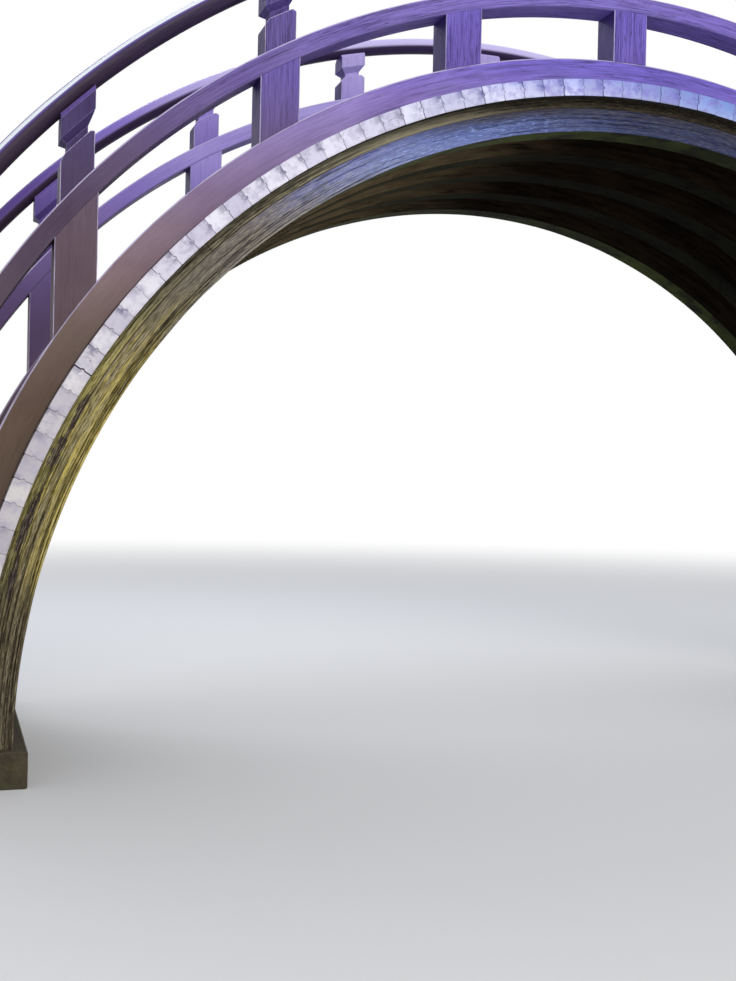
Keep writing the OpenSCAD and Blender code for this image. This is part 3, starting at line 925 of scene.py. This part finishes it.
for k in range(1, RIBS + 1):
    look = outer_rib if k in OUTER_RIBS else inner_rib
    piece("rib_%d_wood" % k, rib_parts(k, True), [look], ["rib_%d" % k], sharp=40)
    piece("rib_board_%d_wood" % k, rib_parts(k, False), [look], ["rib_board_%d" % k], sharp=40)

# Planks: tongues and grooves show at their ends, the tongues towards +X. Rows are shares of a plank's height,
# with how far the tongue stands out there, and columns go across a plank from -1 to 1
rng = random.Random(11)
ROWS = np.array([0.0, 0.06, 0.24, 0.415, 0.435, 0.51, 0.585, 0.605, 0.78, 0.94, 1.0])
TONGUE = np.array([0, 0, 0, 0, 0.8, 1.0, 0.8, 0, 0, 0, 0])
COLS = np.array([-1.0, -0.95, -0.5, 0.0, 0.5, 0.95, 1.0])
# One joint has opened, and the deck's two ends stand back a little
OPEN_JOINT, OPEN_GAP, END_GAP = 76, 0.0022, 0.0020
PLANK_CUT, PLANK_EASE, DENT = 0.0018, 0.0010, 0.0014


def plank_joint(k):
    """The shape of the joint before plank k, and how far each plank stands back from it."""
    tongue = rng.uniform(0.0045, 0.0075)
    lean = rng.uniform(-0.0008, 0.0008)
    shape = lean * (ROWS - 0.5) - tongue * TONGUE + np.array([rng.uniform(-0.0005, 0.0005) for _ in ROWS])
    gap = 0.00015 + 0.0007 * rng.random() ** 2
    if k in (0, PLANKS):
        return ROWS * 0, END_GAP
    return shape, OPEN_GAP if k == OPEN_JOINT else gap


joints = [plank_joint(k) for k in range(PLANKS + 1)]


def plank_part(k):
    """One plank. Its outline follows the joints beside it. Its ends are grids that carry the end grain."""
    (low_shape, low_gap), (high_shape, high_gap) = joints[k], joints[k + 1]
    proud = rng.uniform(-0.0012, 0.0012)
    w = DECK_W / 2 + rng.uniform(-0.0030, 0.0012)
    a_low = math.radians(k * PITCH) + (low_shape + low_gap) / ARCH
    a_high = math.radians((k + 1) * PITCH) + (high_shape - high_gap) / ARCH
    rows, cols = len(ROWS), len(COLS)
    h, t = np.meshgrid(ROWS, COLS, indexing="ij")
    face = (ROWS == 0).astype(float) - (ROWS == 1)
    corner = (np.abs(t) == 1) * np.abs(face)[:, None]

    def grid(y, shrink):
        """Points, grain and cells of a cross section at y, smaller by shrink."""
        a = a_low[:, None] + (a_high - a_low)[:, None] * (t + 1) / 2
        a = a - t * (0.0002 * corner + shrink / ARCH * (np.abs(t) > 0.9))
        r = ARCH + h * PLANK_T + np.where(h > 0.5, proud, 0) + face[:, None] * (PLANK_CUT * corner + shrink)
        P = np.stack([r * np.cos(a), y + 0 * r, SOLE + r * np.sin(a)], -1)
        return P, np.stack([a * ARCH, r, y + 0 * r], -1), np.stack([t, h, 0 * t], -1)

    ring = [(0, j) for j in range(cols)] + [(i, cols - 1) for i in range(1, rows)]
    ring += [(rows - 1, j) for j in range(cols - 2, -1, -1)] + [(i, 0) for i in range(rows - 2, 0, -1)]
    ri, rj = np.array(ring).T
    m = len(ring)
    inner = w - PLANK_EASE
    stations = (-inner, 0.002 - inner, -0.5, 0.0, 0.5, inner - 0.002, inner)
    last = len(stations) - 1
    V, G, C, E = [], [], [], []
    for s, y in enumerate(stations):
        P, g, cell = grid(y, 0.0)
        V.append(P[ri, rj])
        G.append(g[ri, rj][:, ::-1])
        C.append(cell[ri, rj])
        E.append(np.full(m, 0.8) if s in (0, last) else 0.6 * corner[ri, rj])
    F = tube(len(stations), m)
    M = [0] * len(F)
    for sign, first in ((-1, 0), (1, last * m)):
        P, g, cell = grid(sign * w, PLANK_EASE)
        dents = [[rng.random() for _ in range(cols - 4)] for _ in range(rows - 2)]
        P[1:-1, 2:-2, 1] -= sign * DENT * np.array(dents)
        base = sum(len(v) for v in V)
        V.append(P.reshape(-1, 3))
        G.append(g.reshape(-1, 3))
        C.append(cell.reshape(-1, 3))
        E.append(np.zeros(rows * cols))
        at = [base + i * cols + j for i in range(rows - 1) for j in range(cols - 1)]
        F += [(a, a + 1, a + cols + 1, a + cols) for a in at]
        rim = [base + i * cols + j for i, j in ring]
        F += [(first + q, first + (q + 1) % m, rim[(q + 1) % m], rim[q]) for q in range(m)]
    M += [1] * (len(F) - len(M))
    values = {key: np.concatenate(v) for key, v in (("v", V), ("grain", G), ("cell", C), ("edge", E))}
    return {"f": F, "mat": M, "tone": rng.random(), **values}


for name, first, last in (("deck_right", 0, 29), ("deck_crown", 30, 61), ("deck_left", 62, 91)):
    planks = [plank_part(k) for k in range(first, last + 1)]
    piece(name + "_planks", planks, [plank_wood, end_grain], [name], sharp=25)

# Nail heads: the radius of each ring and its height above the deck, and the height of the middle
HEAD = ((0.0036, 0.0013), (0.0050, 0.0004), (0.0050, -0.002))
HEAD_TOP, HEAD_SIDES = 0.0016, 8
NAIL_SIDES, NAIL_STRAY = (0.28, 0.72), 0.02


def nail(k, rib, u):
    """A nail head in plank k over a rib, at u of the plank's width."""
    a = math.radians((k + u) * PITCH) + rng.uniform(-0.0006, 0.0006)
    y = -DECK_W / 2 + RIB_SET + (rib - 1) * RIB_GAP + RIB_T / 2 + rng.uniform(-NAIL_STRAY, NAIL_STRAY)
    n = np.array((math.cos(a), 0, math.sin(a)))
    t1, t2 = np.array((-math.sin(a), 0, math.cos(a))), np.array((0, 1, 0))
    c = np.array((0, y, SOLE)) + n * DECK
    V = [c + n * HEAD_TOP]
    for radius, high in HEAD:
        for q in range(HEAD_SIDES):
            turn = q * 2 * math.pi / HEAD_SIDES
            V.append(c + n * high + (t1 * math.cos(turn) + t2 * math.sin(turn)) * radius)
    F = [(0, 1 + q, 1 + (q + 1) % HEAD_SIDES) for q in range(HEAD_SIDES)]
    F += [tuple(1 + i for i in f) for f in tube(len(HEAD), HEAD_SIDES)]
    return {"v": np.array(V), "f": F, "grain": np.array(V), "edge": np.zeros(len(V))}


nails = [nail(k, rib, u) for k in range(PLANKS) for rib in range(2, RIBS) for u in NAIL_SIDES]
piece("deck_nails", nails, [nail_iron], [], sharp=60)


def tread(k, s):
    """A batten across the deck, along the middle of a plank, the k-th from its end."""
    a = math.radians((1.5 + TREAD_STEP * k) * PITCH)
    a = a if s > 0 else math.pi - a
    half = TREAD_W / 2 / DECK
    worn = 0.004 + 0.003 * rng.random()
    corners = ((DECK, -half), (DECK, half), (DECK + TREAD_H, half), (DECK + TREAD_H, -half))
    outline = [(r * math.cos(a + turn), SOLE + r * math.sin(a + turn)) for r, turn in corners]
    return prism(outline, -RAIL_IN, RAIL_IN, worn, 0.004, rng.random(), wave=0.002, seed=60 + k, steps=12)


for name, s in (("treads_right", 1), ("treads_left", -1)):
    piece(name + "_battens", [tread(k, s) for k in range(TREADS)], [tread_wood], [name], sharp=30)


# Curbs, rails and posts. Steps along the rails and along and round the handrail, and across a rail's faces
RAIL_RING, BAR_RING, BAR_SIDES, ACROSS = 0.025, 0.017, 48, 0.03


def bow(seed):
    """The slight unevenness of a long sawn timber."""

    def f(S, R, Y):
        across = 0.0012 * (rough(S * 1.5, R * 9, 0, seed + 1) - 0.5)
        return 0.0008 * (rough(S * 1.2, Y * 3, 0, seed) - 0.5), across

    return f


def plumb_ring(xs, y0, y1, d):
    """Points (x, y, edge) round a post whose faces are moved in by d, with its arrises cut."""
    c = max(ARRIS - SHRINK * d, LEAST_CUT)
    a, b, n, f = xs[0] + d, xs[-1] - d, y0 + d, y1 - d
    cols = worn_ends(np.concatenate([[a + c, a + c + WORN], xs[1:-1], [b - c - WORN, b - c]]))
    rows = np.concatenate([[n + c, n + c + WORN], np.linspace(n, f, 5)[1:-1], [f - c - WORN, f - c]])
    rows = worn_ends(rows)
    pts = [(x, n, e) for x, e in cols] + [(b, y, e) for y, e in rows]
    pts += [(x, f, e) for x, e in cols[::-1]] + [(a, y, e) for y, e in rows[::-1]]
    return np.array(pts), len(cols), len(rows)


def standing(V, E, F, tone):
    """A part whose grain runs upright."""
    return {"v": V, "f": F, "grain": V[:, (2, 0, 1)], "edge": E, "tone": tone}


def upright(xs, side, thick, foot, head, open_top):
    """A plumb timber: xs are the columns of its broad faces, foot its lower radius, head(x) its upper end."""
    y0, y1 = side * RAIL_MID - thick / 2, side * RAIL_MID + thick / 2
    # Rings: how far in, how far up, how far under the top, and the wear if it is all round
    levels = [(0.0, t, 0.0, None) for t in np.linspace(0, 0.95, 6)]
    if open_top:
        levels += [(0.0, 1.0, ARRIS + WORN, None), (0.0, 1.0, ARRIS, 1.0)]
        levels += [(ARRIS, 1.0, 0.0, 1.0), (ARRIS + WORN, 1.0, 0.0, 0.0)]
    else:
        levels.append((0.0, 1.0, 0.0, None))
    V, E = [], []
    for d, t, drop, worn in levels:
        ring, nc, nr = plumb_ring(xs, y0, y1, d)
        x, y, e = ring.T
        low = up_at(foot - LEAST_CUT, x)
        V.append(np.stack([x, y, low + (head(x) - low) * t - drop], -1))
        E.append(e if worn is None else np.full(len(e), worn))
    m = len(ring)
    F = tube(len(levels), m)
    for base in (0, (len(levels) - 1) * m):
        opposite = [nc + nr + nc - 1 - i for i in range(nc)]
        F += [tuple(base + q for q in (i, i + 1, opposite[i + 1], opposite[i])) for i in range(nc - 1)]
        F.append(tuple(base + q for q in range(nc - 1, nc + nr + 1)))
        F.append(tuple(base + q % m for q in range(nc + nr + nc - 1, m + 1)))
    V = np.concatenate(V)
    V[:, 1] += 0.0008 * (rough(V[:, 0] * 6, V[:, 1] * 0.1, V[:, 2] * 3, 90) - 0.5)
    return standing(V, np.concatenate(E), F, rng.random())


def post_low(i, side):
    """A wide post from the curb to the mid rail."""
    xs = i * POST_GAP + np.linspace(-POST_LOW / 2, POST_LOW / 2, 7)
    return upright(xs, side, RAIL_T, CURB, lambda x: up_at(MID_IN + LEAST_CUT, x), False)


def post_up(i, side):
    """A narrower post from the mid rail up to a bearing block, with its top corners cut."""
    x0, x1 = i * POST_GAP - POST_UP / 2, i * POST_GAP + POST_UP / 2
    xs = np.concatenate([[x0], np.linspace(x0 + POST_CUT, x1 - POST_CUT, 5), [x1]])
    tops = up_at(POST_TOP, xs) - POST_CUT * np.isin(xs, (x0, x1))
    return upright(xs, side, UP_T, MID_OUT, lambda x: np.interp(x, xs, tops), True)


def block_part(side):
    """The bearing blocks of one side: the part's own solids with eased edges."""
    bm = bmesh.new()
    bm.from_mesh(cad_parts["blocks_" + side].data)
    bmesh.ops.remove_doubles(bm, verts=bm.verts, dist=1e-5)
    bmesh.ops.dissolve_limit(bm, angle_limit=math.radians(1.5), verts=bm.verts, edges=bm.edges)
    hard = [e for e in bm.edges if e.calc_face_angle(0) > math.radians(16)]
    bmesh.ops.bevel(bm, geom=hard, offset=ARRIS, segments=1, profile=0.5, affect="EDGES", clamp_overlap=True)
    broad = [f for f in bm.faces if f.calc_area() > 0.0008]
    ring = {v for f in broad for v in f.verts}
    bmesh.ops.inset_individual(bm, faces=broad, thickness=WORN)
    bm.verts.index_update()
    V = np.array([tuple(v.co) for v in bm.verts])
    E = np.array([1.0 if v in ring else 0.0 for v in bm.verts])
    F = [tuple(v.index for v in f.verts) for f in bm.faces]
    bm.free()
    return standing(V, E, F, 0.5)


mid_end = math.degrees(math.acos((NEWEL_X - NEWEL_W / 2 + 0.02) / MID_IN))
hand_end = math.degrees(math.acos(NEWEL_X / HAND))
for side, s in (("near", -1), ("far", 1)):
    y0, y1 = s * RAIL_MID - RAIL_T / 2, s * RAIL_MID + RAIL_T / 2
    curb = section(DECK, CURB, y0, y1, EDGE, across=ACROSS)
    curb = band(curb, -SOLE, arc(180) + SOLE, RAIL_RING, bow(5), 0.2 + 0.3 * s)
    piece("curb_%s_board" % side, [curb], [curb_paint], ["curb_" + side])
    mid = section(MID_IN, MID_OUT, y0, y1, EDGE, across=ACROSS)
    mid = band(mid, arc(mid_end), arc(180 - mid_end), RAIL_RING, bow(15 + s), 0.5 + 0.3 * s)
    piece("mid_rail_%s_board" % side, [mid], [mid_paint], ["mid_rail_" + side])
    turn = np.arange(BAR_SIDES) * 2 * math.pi / BAR_SIDES
    bar = np.stack([HAND + HAND_D / 2 * np.cos(turn), s * RAIL_MID + HAND_D / 2 * np.sin(turn), turn * 0], -1)
    bar = band(bar, arc(hand_end), arc(180 - hand_end), BAR_RING, bow(25 + s), 0.4 + 0.2 * s)
    piece("handrail_%s_bar" % side, [bar], [rail_paint], ["handrail_" + side], sharp=60)
    for name, make, look in (("low", post_low, low_paint), ("up", post_up, up_paint)):
        posts = [make(i, s) for i in range(-3, 4)]
        piece("posts_%s_%s_timber" % (name, side), posts, [look], ["posts_%s_%s" % (name, side)])
    piece("blocks_%s_timber" % side, [block_part(side)], [block_paint], ["blocks_" + side])


# End posts and soles
def newel_part(sx, sy):
    """A square post with eased arrises under a sloping cap."""
    middle = np.array((sx * NEWEL_X, sy * RAIL_MID))
    w, eaves = NEWEL_W / 2, NEWEL_TOP - CAP_H
    peak = w * 0.30
    # Rings: height, half width, and whether it is worn all round
    levels = [(0.0, w - ARRIS, 1), (ARRIS, w, 1), (ARRIS + WORN, w, 0), (eaves - WORN, w, 0), (eaves, w, 1)]
    levels += [(eaves + 0.003, w - 0.004, 1), (eaves + 0.005, w - 0.008, 0)]
    levels += [(NEWEL_TOP - 0.004, peak + 0.004, 0), (NEWEL_TOP, peak - 0.003, 1), (NEWEL_TOP, peak * 0.6, 0)]
    V, E = [], []
    for z, h, worn in levels:
        c = min(ARRIS, h * 0.12)
        q = c + WORN if h > 0.05 else c * 1.6
        corner = [(h, h - q), (h, h - c), (h - c, h), (h - q, h)]
        for way in ((1, 1), (-1, 1), (-1, -1), (1, -1)):
            turned = corner if way[0] == way[1] else corner[::-1]
            V += [(*(middle + np.multiply(way, p)), z) for p in turned]
            E += [1.0, 1.0, 1.0, 1.0] if worn else [0.0, 1.0, 1.0, 0.0]
    return standing(np.array(V), np.array(E), closed_tube(len(levels), 16), rng.random())


for sx, a in ((-1, "left"), (1, "right")):
    for sy, b in ((-1, "near"), (1, "far")):
        name = "newel_%s_%s" % (b, a)
        piece(name + "_timber", [newel_part(sx, sy)], [newel_paint], [name])
    x0 = RIB_IN - (SOLE_W - RIB_T) / 2
    low, high = sorted((sx * x0, sx * (x0 + SOLE_W)))
    outline = [(low, 0), (high, 0), (high, SOLE), (low, SOLE)]
    timber = prism(outline, -DECK_W / 2, DECK_W / 2, 0.007, 0.006, 0.4 + 0.1 * sx, wave=0, seed=0, steps=30)
    piece("sole_%s_timber" % a, [timber], [sole_wood], ["sole_" + a])


# Floor, world and lamps
HALF_FLOOR, FADE_FROM, FADE_TO = 60, 7.0, 22.0


def pale_floor():
    """A pale floor that goes over into the white of the world far off."""
    s = Stuff("floor_pale")
    s.bsdf.inputs["Base Color"].default_value = (0.80, 0.80, 0.80, 1)
    s.bsdf.inputs["Roughness"].default_value = 0.9
    rays = s.new("LightPath").outputs
    seen = s.math("MAXIMUM", rays["Is Camera Ray"], rays["Is Glossy Ray"])
    glow = s.new("Emission", Color=(1, 1, 1, 1), Strength=1.0)
    far_off = s.span(s.vec("LENGTH", s.where(), (0, 0, 0)), FADE_FROM, FADE_TO)
    s.put(s.out.inputs[0], s.blend(s.all(seen, far_off), s.bsdf, glow))
    return s.mat


floor_mesh = bpy.data.meshes.new("floor")
corners = [(x * HALF_FLOOR, y * HALF_FLOOR, 0) for x, y in ((-1, -1), (1, -1), (1, 1), (-1, 1))]
floor_mesh.from_pydata(corners, [], [(0, 1, 2, 3)])
floor = bpy.data.objects.new("floor", floor_mesh)
bpy.context.collection.objects.link(floor)
floor_mesh.materials.append(pale_floor())

world = bpy.data.worlds.new("studio")
bpy.context.scene.world = world
w = Nodes(world, "OutputWorld")
rays = w.new("LightPath").outputs
seen = w.math("MAXIMUM", rays["Is Camera Ray"], rays["Is Glossy Ray"])
seen = w.math("MAXIMUM", seen, rays["Is Transmission Ray"])
light = w.new("Background", Color=(0.90, 0.93, 1.0, 1), Strength=0.55)
white = w.new("Background", Color=(1, 1, 1, 1), Strength=1.0)
w.put(w.out.inputs[0], w.blend(seen, light, white))


def lamp(name, place, aim, size, power, tint):
    data = bpy.data.lights.new(name, "AREA")
    data.shape = "DISK"
    data.size = size
    data.energy = power
    data.color = tint
    ob = bpy.data.objects.new(name, data)
    bpy.context.collection.objects.link(ob)
    ob.location = place
    ob.rotation_euler = (Vector(aim) - Vector(place)).to_track_quat("-Z", "Y").to_euler()


lamp("key", (-0.5, -13.0, 8.6), aim=(-0.8, -0.5, 1.8), size=5.0, power=920, tint=(1.0, 0.98, 0.95))
lamp("back", (-2.0, 6.5, 9.0), aim=(-0.5, 0, 2.0), size=5.0, power=380, tint=(0.92, 0.95, 1.0))

bpy.context.scene.view_settings.view_transform = "Standard"
